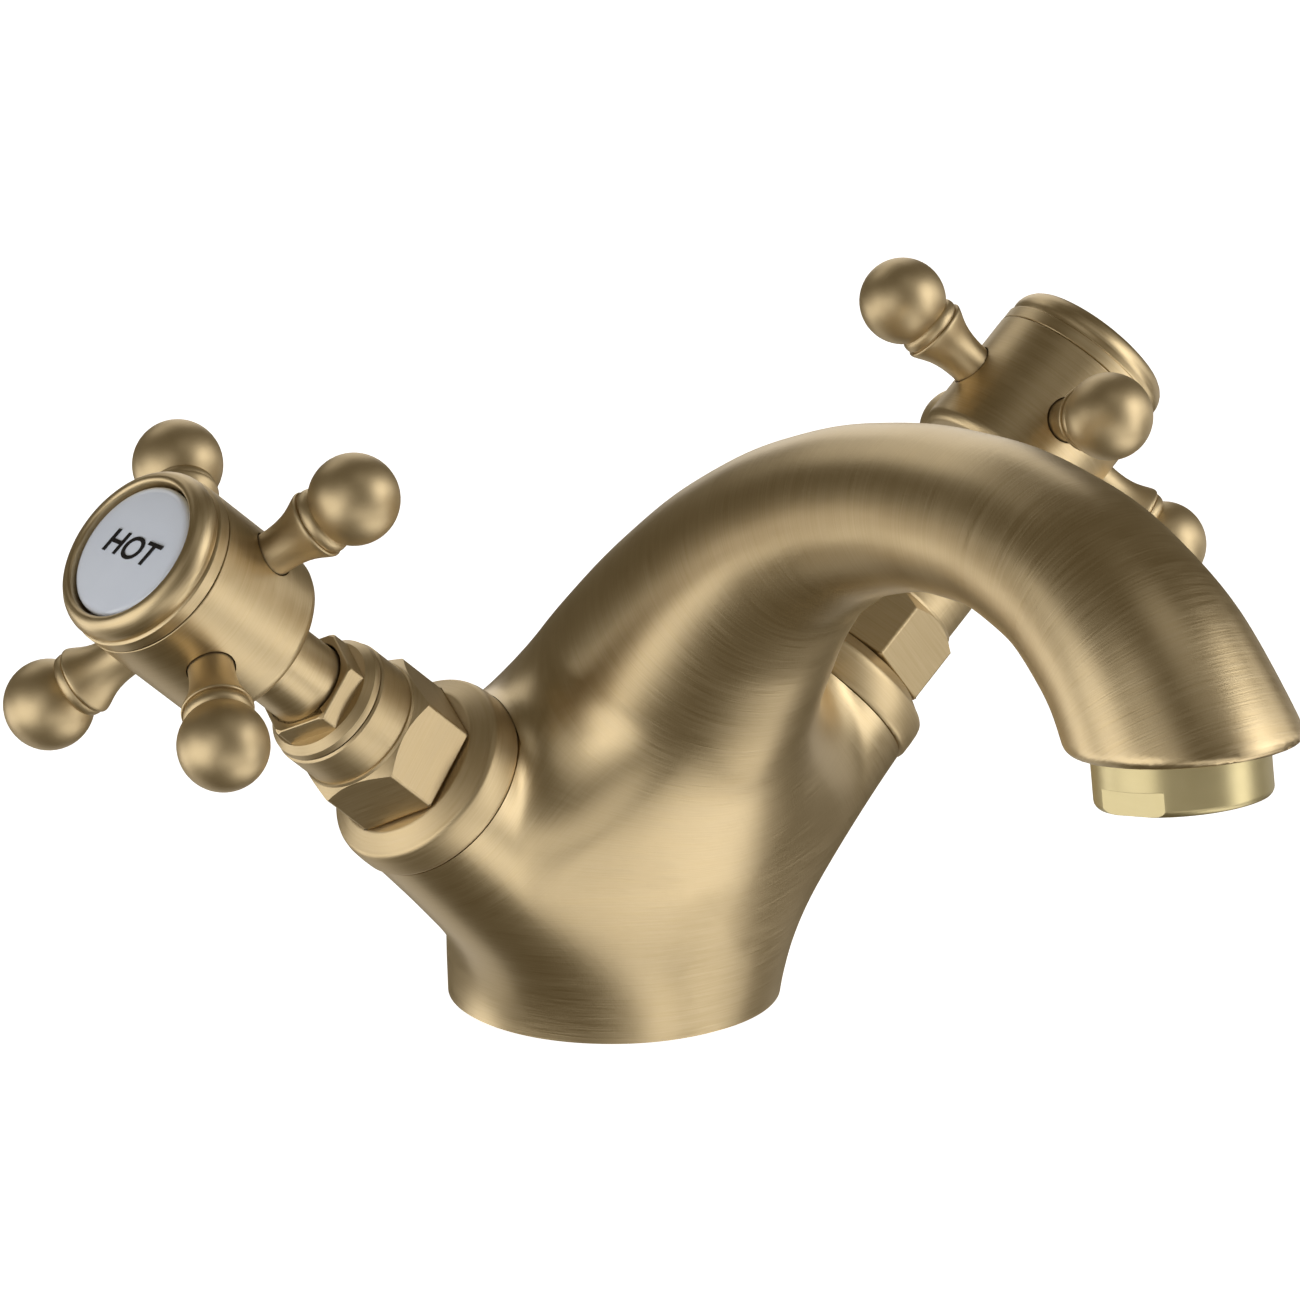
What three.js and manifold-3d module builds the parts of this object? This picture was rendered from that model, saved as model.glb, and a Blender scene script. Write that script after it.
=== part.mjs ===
// Two-handle basin mixer in brushed brass: a one-piece body with a swan-neck spout and two raised
// arms, and on each arm a quarter-turn ceramic valve with a four-spoke handle.
// Millimetres, +Z up. The origin is the centre of the base on the deck, and the spout points to -Y.
import * as THREE from 'three';
import { mergeVertices } from 'three/addons/utils/BufferGeometryUtils.js';
import Module from 'manifold-3d';

const wasm = await Module();
wasm.setup();

// ---- driving dimensions ----

const GAP = 0.3;                       // clearance between neighbouring pieces
const BASE_RADIUS = 24.4;
const ARM_TILT = THREE.MathUtils.degToRad(40.9);   // arm axis above the deck
const ARM_START = new THREE.Vector3(0, -4.67, 9.33);
const ARM_LENGTH = 46.2;               // from ARM_START to the arm's machined end
const BORE_RADIUS = 9.6;               // valve chamber in the arm
const SEAT = 24;                       // bottom of the valve chamber, along the arm axis
const PORT_RADIUS = 4;                 // drilled waterways
const INLET_RADIUS = 4.5;              // tapping size of an M10x1 hose thread
const STUD_RADIUS = 3.4;               // tapping size of the M8 fixing stud
const STUD_Y = 11;

const SPINDLE_RADIUS = 4.1;
const STEM_BORE = 4.5;
const BONNET_END = 74;                 // top of the bonnet's neck
const SLEEVE_RADIUS = 6.2;
const HUB_RADIUS = 13.4;
const HUB_START = 89.8;
const HUB_END = 109.3;
const SPOKE_HEIGHT = 99.87;            // spokes' plane along the arm axis
const BALL_CENTRE = 27.87;             // from the handle's axis
const BALL_RADIUS = 6.5;
const TENON_RADIUS = 2;
const NECK_RADIUS = 3.2;               // of a spoke, where it enters its socket in the hub
const NECK_START = 10.9;
const SPOKES = 4;

const MOUTH = new THREE.Vector3(0, -126.7, 70.8);  // centre of the spout's mouth
const MOUTH_TILT = THREE.MathUtils.degToRad(9);    // outlet leans forward from straight down
const AERATOR_RADIUS = 12.2;
const SOCKET_DEPTH = 5.1;

// The body's centre line and radius from the deck to just past the mouth: [y, z, radius].
const SPOUT_STATIONS = [
  [0, 0, BASE_RADIUS], [0, 8, 24.8], [-1, 20, 24.6], [-4.5, 33, 23.3], [-11.5, 45.2, 21.8],
  [-21.3, 58.5, 19.2], [-31.1, 69.8, 16.6], [-42.2, 79.1, 14.1], [-56.2, 86.5, 12.3],
  [-72.8, 91.2, 11.5], [-90.3, 92.3, 11.8], [-106.4, 88.8, 12.8], [-119.4, 80.6, 14.3],
  [-128.9, 68.7, 15.8], [-137, 55, 17.2],
];

// The waterway inside it, from the mixing chamber to the aerator's socket.
const WATERWAY_STATIONS = [
  [-4.5, 34, 9], [-11.5, 45.2, 12], [-21.3, 58.4, 12], [-31.2, 69.6, 10.5], [-42.4, 78.9, 9],
  [-56.4, 86.3, 8], [-72.9, 91, 7.6], [-90.2, 92, 7.8], [-106.2, 88.5, 8.5], [-119.1, 80.3, 9.2],
  [-127.4, 70, 9.4],
];

// Outside of an arm: [radius, distance along the arm axis].
const ARM_PROFILE = [
  [0, 5], [20.4, 5], [20, 8], [18.6, 14], [17.4, 20], [16.5, 26], [15.8, 32], [15.2, 38],
  [14.7, 44], [14.4, ARM_LENGTH], [0, ARM_LENGTH],
];

// ---- materials ----

function finish(color, roughness, metalness) {
  return new THREE.MeshStandardMaterial({ color, roughness, metalness });
}

const brushedBrass = () => finish(0xb59a6a, 0.38, 1);
const polishedBrass = () => finish(0xd3be82, 0.22, 1);
const plainBrass = () => finish(0xc2a25a, 0.45, 1);
const steel = () => finish(0x9a9c9e, 0.35, 1);
const porcelain = () => finish(0xf4f5f7, 0.12, 0);
const alumina = () => finish(0xe8e4da, 0.3, 0);
const rubber = () => finish(0x1c1c1c, 0.8, 0);
const acetal = () => finish(0xd8d8d2, 0.5, 0);

// ---- solids ----

function toSolid(geometry) {
  const bare = geometry.clone();
  bare.deleteAttribute('normal');
  bare.deleteAttribute('uv');
  const merged = mergeVertices(bare, 1e-4);
  const mesh = new wasm.Mesh({
    numProp: 3,
    vertProperties: new Float32Array(merged.attributes.position.array),
    triVerts: new Uint32Array(merged.index.array),
  });
  return new wasm.Manifold(mesh);
}

function toGeometry(solid) {
  const { vertProperties, triVerts } = solid.getMesh();
  const geometry = new THREE.BufferGeometry();
  geometry.setAttribute('position', new THREE.BufferAttribute(vertProperties, 3));
  geometry.setIndex(new THREE.BufferAttribute(triVerts, 1));
  return geometry;
}

// A turned solid about +Z. The profile is a list of [radius, height] that rises on the outside.
function turned(profile, segments = 16) {
  const points = profile.map(([radius, height]) => new THREE.Vector2(radius, height));
  return new THREE.LatheGeometry(points, segments).rotateX(Math.PI / 2);
}

// A turned ring: the profile closes on itself.
function turnedRing(profile, segments = 16) {
  return turned([...profile, profile[0]], segments);
}

function rod(radius, from, to, segments = 16) {
  return turned([[0, from], [radius, from], [radius, to], [0, to]], segments);
}

function tube(inner, outer, from, to, segments = 16) {
  return turnedRing([[inner, from], [outer, from], [outer, to], [inner, to]], segments);
}

function oRing(radius, thickness, height) {
  const section = new THREE.Path().absarc(radius, height, thickness, 0, 2 * Math.PI, false);
  const points = section.getPoints(6).slice(0, -1);
  return turnedRing(points.map((point) => [point.x, point.y]), 16);
}

function box(width, depth, height, x = 0, y = 0, z = 0) {
  return new THREE.BoxGeometry(width, depth, height).translate(x, y, z);
}

// A regular prism about +Z, with its first corner on +X turned by angle.
function prism(sides, radius, from, to, angle = 0) {
  const turn = new THREE.Matrix4().makeRotationZ(angle);
  return rod(radius, from, to, sides).rotateZ(Math.PI / 2).applyMatrix4(turn);
}

function join(first, ...others) {
  return others.reduce((solid, part) => solid.add(toSolid(part)), toSolid(first));
}

function cut(solid, ...tools) {
  return tools.reduce((left, tool) => left.subtract(toSolid(tool)), solid);
}

// A round bar of changing radius along a bent centre line in the YZ plane: a turned bar whose
// cross-sections are carried onto the line. The line's x holds the radius.
function bentBar(stations, steps, segments) {
  const line = new THREE.CatmullRomCurve3(stations.map(([y, z, radius]) => new THREE.Vector3(radius, y, z)));
  const profile = [[0, 0]];
  for (let step = 0; step <= steps; step += 1) profile.push([1, step / steps]);
  profile.push([0, 1]);
  const geometry = turned(profile, segments);
  const position = geometry.attributes.position;
  const sideways = new THREE.Vector3(1, 0, 0);
  for (let index = 0; index < position.count; index += 1) {
    const along = THREE.MathUtils.clamp(position.getZ(index), 0, 1);
    const station = line.getPoint(along);
    const heading = line.getTangent(along).setX(0).normalize();
    const across = new THREE.Vector3().crossVectors(heading, sideways);
    const point = new THREE.Vector3(0, station.y, station.z)
      .addScaledVector(sideways, position.getX(index) * station.x)
      .addScaledVector(across, position.getY(index) * station.x);
    position.setXYZ(index, point.x, point.y, point.z);
  }
  return geometry;
}

// ---- frames of the two arms and of the outlet ----

function armMatrix(side) {
  const lean = side * (Math.PI / 2 - ARM_TILT);
  return new THREE.Matrix4().makeRotationY(lean).setPosition(ARM_START);
}

function onArm(side, geometry) {
  return geometry.applyMatrix4(armMatrix(side));
}

function outletMatrix() {
  return new THREE.Matrix4().makeRotationX(-MOUTH_TILT).setPosition(MOUTH);
}

function atOutlet(geometry) {
  return geometry.applyMatrix4(outletMatrix());
}

// A rod between two points.
function rodBetween(start, end, radius) {
  const direction = new THREE.Vector3().subVectors(end, start);
  const upright = new THREE.Vector3(0, 0, 1);
  const turn = new THREE.Quaternion().setFromUnitVectors(upright, direction.clone().normalize());
  return rod(radius, 0, direction.length(), 12).applyQuaternion(turn).translate(start.x, start.y, start.z);
}

// ---- body ----

function outlet() {
  const below = atOutlet(box(120, 120, 60, 0, 0, -30));
  return cut(toSolid(bentBar(SPOUT_STATIONS, 24, 24)), below);
}

// Hot or cold way in: up from the deck, along the arm to the valve seat, through the valve chamber
// and across to the mixing chamber.
function waterways(side) {
  const bend = new THREE.Vector3(0, 0, SEAT - 12).applyMatrix4(armMatrix(side));
  const crossing = new THREE.Vector3(0, 0, SEAT + 9).applyMatrix4(armMatrix(side));
  return [
    onArm(side, rod(BORE_RADIUS, SEAT, ARM_LENGTH + 5, 20)),
    onArm(side, rod(PORT_RADIUS, SEAT - 12, SEAT + 1, 12)),
    rod(INLET_RADIUS, -1, bend.z + 1.5, 16).translate(bend.x, bend.y, 0),
    rodBetween(crossing, new THREE.Vector3(0, -9, 43), 3.5),
  ];
}

function bodyCasting() {
  const underDeck = box(200, 200, 40, 0, 0, -20);
  const arms = [-1, 1].map((side) => onArm(side, turned(ARM_PROFILE, 24)));
  const outside = cut(arms.reduce((solid, arm) => solid.add(toSolid(arm)), outlet()), underDeck);
  const hollow = [
    ...waterways(-1),
    ...waterways(1),
    bentBar(WATERWAY_STATIONS, 14, 12),
    atOutlet(rod(AERATOR_RADIUS + 0.1, -1, SOCKET_DEPTH)),
    rod(STUD_RADIUS, -1, 14, 12).translate(0, STUD_Y, 0),
    tube(19.2, 22.2, -1, 2, 24),
  ];
  return toGeometry(cut(outside, ...hollow));
}

function baseGasket() {
  return tube(19.5, 21.9, 0, 1.7, 24);
}

// ---- aerator, in the outlet's frame with the water leaving along -Z ----

function aeratorHousing() {
  const shell = turnedRing([
    [9.7, -7.4], [11.4, -7.4], [12, -7], [AERATOR_RADIUS, -6.4], [AERATOR_RADIUS, -GAP],
    [11.8, -GAP], [11.8, 3.5], [10.6, 3.5], [10.6, -6.2], [9.7, -6.2],
  ], 20);
  const flats = [-1, 1].map((side) => box(4, 30, 6, side * 13.04, 0, -6.9)
    .applyMatrix4(new THREE.Matrix4().makeRotationZ(THREE.MathUtils.degToRad(12.6))));
  return toGeometry(cut(toSolid(shell), ...flats));
}

// A disc with a square pattern of through holes inside its rim.
function perforatedDisc(radius, from, to, pitch, hole) {
  const holes = [];
  for (let row = -1; row <= 1; row += 1) {
    for (let column = -1; column <= 1; column += 1) {
      holes.push(box(hole, hole, to - from + 2, column * pitch, row * pitch, (from + to) / 2));
    }
  }
  return toGeometry(cut(toSolid(rod(radius, from, to)), ...holes));
}

const aeratorInsert = () => perforatedDisc(10.3, -5.8, 3.2, 5.2, 4.2);
const aeratorScreen = () => perforatedDisc(9.5, 3.6, 4.2, 4.8, 3.6);
const aeratorWasher = () => tube(9.8, 11.9, 3.8, 4.8);

// ---- valve pieces that stay still, in the arm's frame with +Z outwards ----

function flangeRing() {
  return turnedRing([
    [9.8, 46.5], [14.3, 46.5], [15, 47.3], [15, 51.4], [14.2, 52.3], [11.9, 53.8], [9.8, 53.8],
  ], 20);
}

// Threaded bonnet: shank in the arm, big hexagon, barrel and the neck that carries the gland nut.
function bonnet() {
  const hexagon = toSolid(prism(6, 11.7, 54.1, 65, THREE.MathUtils.degToRad(6.5)));
  const chamfer = turned([
    [0, 53.8], [11.3, 54], [11.9, 54.8], [11.9, 63], [10.2, 64.6], [10.1, 65.1], [0, 65.1],
  ], 20);
  const lathed = turned([
    [0, 40.5], [9.2, 40.5], [9.2, 43.8], [7.5, 43.8], [7.5, 46], [9.2, 46], [9.2, 60], [9.8, 60],
    [9.8, 71.2], [7, 71.2], [7, BONNET_END], [0, BONNET_END],
  ]);
  const outside = hexagon.intersect(toSolid(chamfer)).add(toSolid(lathed));
  return toGeometry(cut(outside, rod(STEM_BORE, 39, BONNET_END + 1)));
}

function glandNut() {
  const hexagon = toSolid(prism(6, 8.3, 73, 76.7, THREE.MathUtils.degToRad(4.5)));
  const chamfer = turned([[0, 72], [8.6, 72], [8.6, 76], [7.6, 76.8], [0, 76.8]]);
  const shoulder = turned([[0, 71.5], [9.6, 71.5], [9.4, 72.4], [8.4, 73.5], [0, 73.5]]);
  const bore = turned([[0, 71], [7.3, 71], [7.3, 74.2], [6.55, 74.2], [6.55, 77], [0, 77]]);
  return toGeometry(cut(hexagon.intersect(toSolid(chamfer)).add(toSolid(shoulder)), bore));
}

// Housing of the ceramic discs, with two side windows for the water.
function cartridgeBody() {
  const shell = turnedRing([
    [7.7, 24.5], [9.1, 24.5], [9.1, 40.2], [STEM_BORE, 40.2], [STEM_BORE, 38], [7.7, 38],
  ]);
  return toGeometry(cut(toSolid(shell), box(24, 5.5, 4, 0, 0, 35.5)));
}

const seatSeal = () => tube(4.4, 7.3, SEAT + 0.2, 26.1);
const bonnetORing = () => oRing(8.5, 0.75, 44.9);

// A bar whose section is a piece of a ring, from one angle to another.
function ringSector(inner, outer, start, end, from, to) {
  const shape = new THREE.Shape();
  shape.absarc(0, 0, outer, start, end, false);
  shape.absarc(0, 0, inner, end, start, true);
  return new THREE.ExtrudeGeometry(shape, { depth: to - from, bevelEnabled: false, curveSegments: 5 })
    .translate(0, 0, from);
}

// A ceramic disc with two opposite sector ports, the first of them centred on the given angle.
function ceramicDisc(radius, from, to, angle) {
  const half = THREE.MathUtils.degToRad(38);
  const ports = [angle, angle + Math.PI].map((middle) => (
    ringSector(2, 5.8, middle - half, middle + half, from - 1, to + 1)));
  return cut(toSolid(rod(radius, from, to)), ...ports);
}

const fixedDisc = () => toGeometry(ceramicDisc(7.4, 26.4, 29.5, 0));

// ---- pieces that turn with the handle, in the arm's frame ----

// The moving disc's ports stand across the fixed disc's ones when the valve is closed.
function movingDisc() {
  const disc = ceramicDisc(7.2, 29.8, 32.9, Math.PI / 2);
  return toGeometry(cut(disc, box(20, 2.8, 2, 0, 0, 32.9)));
}

function toothedShape(crest, root, teeth) {
  const points = [];
  for (let corner = 0; corner < 2 * teeth; corner += 1) {
    const radius = corner % 2 === 0 ? crest : root;
    const angle = (corner * Math.PI) / teeth;
    points.push(new THREE.Vector2(radius * Math.cos(angle), radius * Math.sin(angle)));
  }
  return points;
}

function toothedBar(crest, root, from, to) {
  const shape = new THREE.Shape(toothedShape(crest, root, 8));
  return new THREE.ExtrudeGeometry(shape, { depth: to - from, bevelEnabled: false }).translate(0, 0, from);
}

function spindle() {
  const shaft = turned([
    [0, 36], [SPINDLE_RADIUS, 36], [SPINDLE_RADIUS, 59.1], [3, 59.1], [3, 60.9],
    [SPINDLE_RADIUS, 60.9], [SPINDLE_RADIUS, 74.2], [3.2, 74.2], [3.2, 75.1],
    [SPINDLE_RADIUS, 75.1], [SPINDLE_RADIUS, 92.6], [0, 92.6],
  ]);
  const driver = box(13.2, 5, 3.1, 0, 0, 34.75);
  const tongue = box(13.2, 2.2, 1.6, 0, 0, 33);
  const blank = join(shaft, driver, tongue, toothedBar(4.1, 3.6, 92, 103.9));
  return toGeometry(cut(blank, rod(2.3, 95, 105, 12)));
}

function splineInsert() {
  const blank = toSolid(rod(SLEEVE_RADIUS, 92.9, 103.9));
  return toGeometry(cut(blank, toothedBar(4.45, 3.95, 92, 105)));
}

const spindleORing = () => oRing(3.8, 0.55, 60);

function retainingClip() {
  const opening = THREE.MathUtils.degToRad(35);
  return ringSector(3.5, 5.6, opening, 2 * Math.PI - opening, 74.3, 75);
}

const handleSleeve = () => tube(4.6, SLEEVE_RADIUS, 75.3, 92.6);

function handleHub(firstSpoke) {
  const shell = turnedRing([
    [SLEEVE_RADIUS + GAP, HUB_START], [12.2, HUB_START], [13.05, 90.5], [HUB_RADIUS, 91.6],
    [HUB_RADIUS, HUB_END], [11, HUB_END], [11, 105.2], [SLEEVE_RADIUS + GAP, 105.2],
  ], 20);
  const socket = [
    [0, 9], [TENON_RADIUS + GAP, 9], [TENON_RADIUS + GAP, NECK_START - GAP],
    [NECK_RADIUS + GAP, NECK_START - GAP], [NECK_RADIUS + GAP, 15], [0, 15],
  ];
  const sockets = [];
  for (let index = 0; index < SPOKES; index += 1) {
    sockets.push(alongSpoke(turned(socket, 12), firstSpoke, index));
  }
  return toGeometry(cut(toSolid(shell), ...sockets));
}

// Carries a piece made along +Z onto one of the four spoke directions.
function alongSpoke(geometry, firstSpoke, index) {
  const angle = firstSpoke + (index * 2 * Math.PI) / SPOKES;
  return geometry.rotateY(Math.PI / 2).rotateZ(angle).translate(0, 0, SPOKE_HEIGHT);
}

// One turned spoke: tenon, slim neck, trumpet with a lip, bead and ball.
function spoke() {
  const stem = [
    [0, 9.4], [TENON_RADIUS, 9.4], [TENON_RADIUS, NECK_START], [NECK_RADIUS, NECK_START],
    [NECK_RADIUS, 15.5], [3.9, 18.4],
    [5.1, 21], [5.1, 21.4], [4.8, 21.6], [4.7, 23],
  ];
  const start = Math.asin(4.5 / BALL_RADIUS);
  const ball = [];
  const steps = 5;
  for (let step = 1; step <= steps; step += 1) {
    const angle = start + ((Math.PI - start) * step) / steps;
    const radius = step === steps ? 0 : BALL_RADIUS * Math.sin(angle);
    ball.push([radius, BALL_CENTRE - BALL_RADIUS * Math.cos(angle)]);
  }
  return turned([...stem, ...ball], 12);
}

function bezelRing() {
  return turnedRing([
    [10.7, 106.2], [10.7, 109.6], [13.35, 109.6], [13.35, 111.5], [12.9, 111.8], [13.15, 113],
    [12.5, 114.8], [11.5, 115.6], [10.7, 115.2], [10.7, 111.2],
    [8.6, 111.2], [8.6, 106.2],
  ], 20);
}

const indexButton = () => turned(
  [[0, 111.5], [10, 111.5], [10.3, 111.8], [10.3, 114.6], [10, 115], [0, 115.2]], 20);

function handleScrew() {
  const screw = join(rod(5.2, 104.3, 107.2), rod(2, 97.5, 104.5, 12));
  return toGeometry(cut(screw, prism(6, 2.3, 105.2, 108)));
}

// ---- assembly ----

const mixer = new THREE.Group();

function place(parent, name, geometry, material) {
  const mesh = new THREE.Mesh(geometry, material);
  mesh.name = name;
  parent.add(mesh);
  return mesh;
}

function addAerator() {
  const aerator = new THREE.Group();
  aerator.position.copy(MOUTH);
  aerator.rotation.x = -MOUTH_TILT;
  place(aerator, 'aerator_housing', aeratorHousing(), polishedBrass());
  place(aerator, 'aerator_insert', aeratorInsert(), acetal());
  place(aerator, 'aerator_screen', aeratorScreen(), steel());
  place(aerator, 'aerator_washer', aeratorWasher(), rubber());
  mixer.add(aerator);
}

function addValve(side, prefix, spokeDegrees) {
  const firstSpoke = THREE.MathUtils.degToRad(spokeDegrees);
  const valve = new THREE.Group();
  valve.position.copy(ARM_START);
  valve.rotation.y = side * (Math.PI / 2 - ARM_TILT);
  place(valve, `${prefix}_flange_ring`, flangeRing(), brushedBrass());
  place(valve, `${prefix}_bonnet`, bonnet(), brushedBrass());
  place(valve, `${prefix}_gland_nut`, glandNut(), brushedBrass());
  place(valve, `${prefix}_cartridge_body`, cartridgeBody(), plainBrass());
  place(valve, `${prefix}_fixed_disc`, fixedDisc(), alumina());
  place(valve, `${prefix}_seat_seal`, seatSeal(), rubber());
  place(valve, `${prefix}_bonnet_o_ring`, bonnetORing(), rubber());
  place(valve, `${prefix}_moving_disc`, movingDisc(), alumina());
  place(valve, `${prefix}_spindle`, spindle(), plainBrass());
  place(valve, `${prefix}_spindle_o_ring`, spindleORing(), rubber());
  place(valve, `${prefix}_retaining_clip`, retainingClip(), steel());
  place(valve, `${prefix}_handle_sleeve`, handleSleeve(), brushedBrass());
  place(valve, `${prefix}_spline_insert`, splineInsert(), acetal());
  place(valve, `${prefix}_handle_hub`, handleHub(firstSpoke), brushedBrass());
  for (let index = 0; index < SPOKES; index += 1) {
    place(valve, `${prefix}_spoke_${index + 1}`, alongSpoke(spoke(), firstSpoke, index), brushedBrass());
  }
  place(valve, `${prefix}_bezel_ring`, bezelRing(), brushedBrass());
  place(valve, `${prefix}_index_button`, indexButton(), porcelain());
  place(valve, `${prefix}_handle_screw`, handleScrew(), steel());
  mixer.add(valve);
}

place(mixer, 'body_casting', bodyCasting(), brushedBrass());
place(mixer, 'base_gasket', baseGasket(), rubber());
addAerator();
addValve(-1, 'hot', 51.9);
addValve(1, 'cold', 67.3);

export default mixer;
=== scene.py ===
import math

import bpy
import numpy as np
from mathutils import Matrix, Vector


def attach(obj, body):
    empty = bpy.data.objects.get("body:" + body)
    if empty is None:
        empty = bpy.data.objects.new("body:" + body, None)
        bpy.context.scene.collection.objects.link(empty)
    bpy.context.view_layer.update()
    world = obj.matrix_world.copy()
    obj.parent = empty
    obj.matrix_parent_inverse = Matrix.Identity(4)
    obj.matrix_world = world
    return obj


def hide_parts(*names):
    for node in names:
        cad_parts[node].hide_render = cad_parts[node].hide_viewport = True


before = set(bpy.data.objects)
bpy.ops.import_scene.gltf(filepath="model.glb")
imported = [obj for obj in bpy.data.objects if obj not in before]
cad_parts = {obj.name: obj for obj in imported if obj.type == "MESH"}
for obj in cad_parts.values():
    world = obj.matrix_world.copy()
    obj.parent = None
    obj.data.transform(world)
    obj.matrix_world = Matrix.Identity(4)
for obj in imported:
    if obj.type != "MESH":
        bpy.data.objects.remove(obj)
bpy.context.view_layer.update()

# ---------------------------------------------------------------------------------------------
# Body casting: base, two raised arms and the swan-neck spout, cast in one piece of brass, ground
# so that the arms run into the spout in wide hollows, then brushed round each limb.
# The limbs are drawn as bars, joined, and settled on the smooth skin that wraps all three.
# ---------------------------------------------------------------------------------------------

MM = 0.001
ARM_START = np.array([0.0, -4.67, 9.33])
ARM_LEAN = 49.1                     # degrees between an arm's axis and the vertical
ARM_END = 46.2                      # machined face of an arm, along its axis
MOUTH = np.array([0.0, -126.7, 70.8])
MOUTH_LEAN = 9.0                    # degrees the outlet leans forward from straight down
MOUTH_ROUND = 1.7
LINE_STEP = 0.25                    # between the rows of a smoothed centre line
SEAT = 24                           # bottom of the valve chamber, along the arm
CHAMBER_RADIUS = 9.6
PORT_RADIUS = 4
PORT_START = 12
INLET_RADIUS = 4.5
STUD_RADIUS = 3.4
STUD_BACK = 11

# Middle of the spout in its own plane (y, z) and its radius there, from under the deck to the mouth.
spout_stations = [
    (0, -6, 24.4), (0, 0, 24.4), (0, 8, 24.8), (-1, 20, 24.6), (-4.5, 33, 23.3), (-11.5, 45.2, 21.8),
    (-21.3, 58.5, 19.2), (-31.1, 69.8, 16.55), (-42.2, 79.2, 14.1), (-56.2, 86.7, 12.35),
    (-72.8, 91.4, 11.55), (-90.4, 92.5, 11.8), (-106.6, 89, 12.9), (-119.7, 80.8, 14.4),
    (-129, 68.8, 15.9), (-137.2, 55, 17.2),
]
# Radius of an arm and its distance from the arm's start.
arm_profile = [
    (20.4, 5), (20, 8), (18.6, 14), (17.4, 20), (16.5, 26), (15.8, 32), (15.2, 38), (14.75, 44), (14.3, 52),
]
waterway_stations = [
    (-4.5, 34, 9), (-11.5, 45.2, 12), (-21.3, 58.4, 12), (-31.2, 69.6, 10.5), (-42.4, 78.9, 9),
    (-56.4, 86.3, 8), (-72.9, 91, 7.6), (-90.2, 92, 7.8), (-106.2, 88.5, 8.5), (-119.1, 80.3, 9.2),
    (-127.4, 70, 9.4),
]


def arm_place(side):
    """Carries a piece made upright about Z onto the hot (-1) or the cold (1) arm."""
    return Matrix.Translation(Vector(ARM_START) * MM) @ Matrix.Rotation(side * math.radians(ARM_LEAN), 4, "Y")


def outlet_place():
    """Carries a piece made upright about Z to the spout's mouth, with the water leaving along -Z."""
    return Matrix.Translation(Vector(MOUTH) * MM) @ Matrix.Rotation(-math.radians(MOUTH_LEAN), 4, "X")


def only(piece):
    """Makes one piece the selected and active one."""
    bpy.ops.object.select_all(action="DESELECT")
    piece.select_set(True)
    bpy.context.view_layer.objects.active = piece


def settle_place(piece, matrix=None):
    """Puts the piece's place into its mesh and leaves its object at the origin."""
    only(piece)
    bpy.ops.object.transform_apply(location=True, rotation=True, scale=True)
    if matrix is not None:
        piece.data.transform(matrix)
    return piece


def turn(name, profile, segments=96):
    """Turns a round piece about Z from (radius, height) stations; a ring's last station is its first."""
    bpy.ops.object.select_all(action="DESELECT")
    stations = [(max(radius, 0.0002), height) for radius, height in profile]
    bpy.ops.mesh.primitive_circle_add(
        vertices=segments, radius=stations[0][0] * MM, location=(0, 0, stations[0][1] * MM))
    piece = bpy.context.object
    piece.name = name
    bpy.ops.object.mode_set(mode="EDIT")
    bpy.ops.mesh.select_all(action="SELECT")
    for (before, low), (radius, height) in zip(stations, stations[1:]):
        bpy.ops.mesh.extrude_region_move(TRANSFORM_OT_translate={"value": (0, 0, (height - low) * MM)})
        grow = radius / before
        bpy.ops.transform.resize(value=(grow, grow, 1), center_override=(0, 0, height * MM))
    bpy.ops.mesh.select_all(action="SELECT")
    bpy.ops.mesh.remove_doubles(threshold=0.002 * MM)
    bpy.ops.mesh.normals_make_consistent(inside=False)
    bpy.ops.object.mode_set(mode="OBJECT")
    return settle_place(piece)


def rod(name, radius, low, high, segments=48):
    """A plain round bar, used to bore and to cut."""
    return turn(name, [(0, low), (radius, low), (radius, high), (0, high)], segments)


def heading(before, after):
    """The angle at which one (y, z) station sees the next, from the Y axis."""
    return math.atan2(after[1] - before[1], after[0] - before[0])


def bent_bar(name, stations, segments):
    """Draws a circle out along (y, z, radius) stations, turning it to face each stretch."""
    bpy.ops.object.select_all(action="DESELECT")
    bpy.ops.mesh.primitive_circle_add(
        vertices=segments, radius=stations[0][2] * MM, fill_type="NGON",
        location=(0, stations[0][0] * MM, stations[0][1] * MM))
    piece = bpy.context.object
    piece.name = name
    headings = [heading(*stations[:2])]
    headings += [heading(before, after) for before, after in zip(stations, stations[2:])]
    headings.append(heading(*stations[-2:]))
    bpy.ops.object.mode_set(mode="EDIT")
    bpy.ops.mesh.select_all(action="SELECT")
    centre = (0, stations[0][0] * MM, stations[0][1] * MM)
    bpy.ops.transform.rotate(value=math.radians(90) - headings[0], orient_axis="X", center_override=centre)
    for index in range(1, len(stations)):
        before, station = stations[index - 1], stations[index]
        step = (0, (station[0] - before[0]) * MM, (station[1] - before[1]) * MM)
        centre = (0, station[0] * MM, station[1] * MM)
        grow = station[2] / before[2]
        bpy.ops.mesh.extrude_region_move(TRANSFORM_OT_translate={"value": step})
        bpy.ops.transform.resize(value=(grow, grow, grow), center_override=centre)
        turned = headings[index - 1] - headings[index]
        bpy.ops.transform.rotate(value=turned, orient_axis="X", center_override=centre)
    bpy.ops.mesh.select_all(action="SELECT")
    bpy.ops.mesh.normals_make_consistent(inside=False)
    bpy.ops.object.mode_set(mode="OBJECT")
    return settle_place(piece)


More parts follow.
